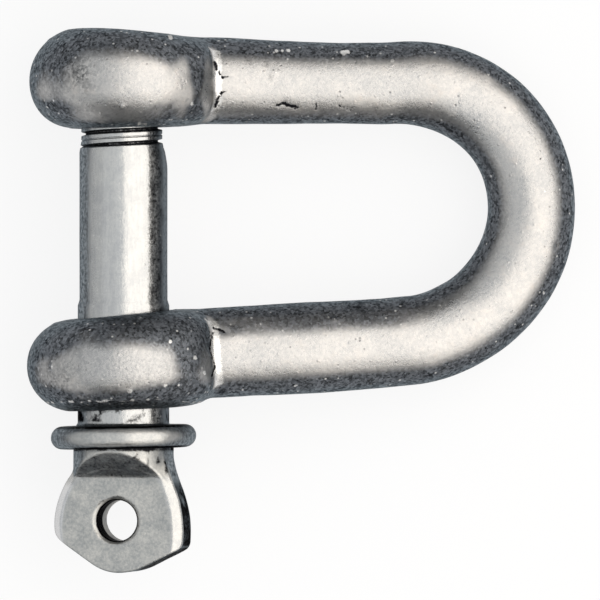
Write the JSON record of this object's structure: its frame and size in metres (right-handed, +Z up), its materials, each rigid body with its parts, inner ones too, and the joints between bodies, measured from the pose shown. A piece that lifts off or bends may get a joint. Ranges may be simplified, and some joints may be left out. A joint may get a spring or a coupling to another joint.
{
  "type": "chain joining shackle",
  "caption": "Dee shackle for joining chain: a forged round-bar bow with rounded lugs, closed by a collared screw pin that is turned by a flat drilled eye.",
  "frame": {"origin": "on the pin's axis, level with the middle of the bend", "axes": "+Y along the pin towards its threaded end, +X towards the bend, +Z up with the shackle lying on a table on its lugs and its crown"},
  "size_m": [0.0624, 0.0614, 0.022],
  "materials": {
    "galvanised_forging": "dull galvanised steel with a fine grain",
    "bright_zinc_pin": "brighter zinc-plated steel, satin on the eye"
  },
  "bodies": {
    "bow": {"bow": "galvanised_forging"},
    "pin": {"screw_pin": "bright_zinc_pin"}
  },
  "joints": [
    {"name": "pin_draw", "type": "slide", "parent": "bow", "child": "pin", "axis": [0, -1, 0], "range_m": [-0.00125, 0.06]}
  ]
}
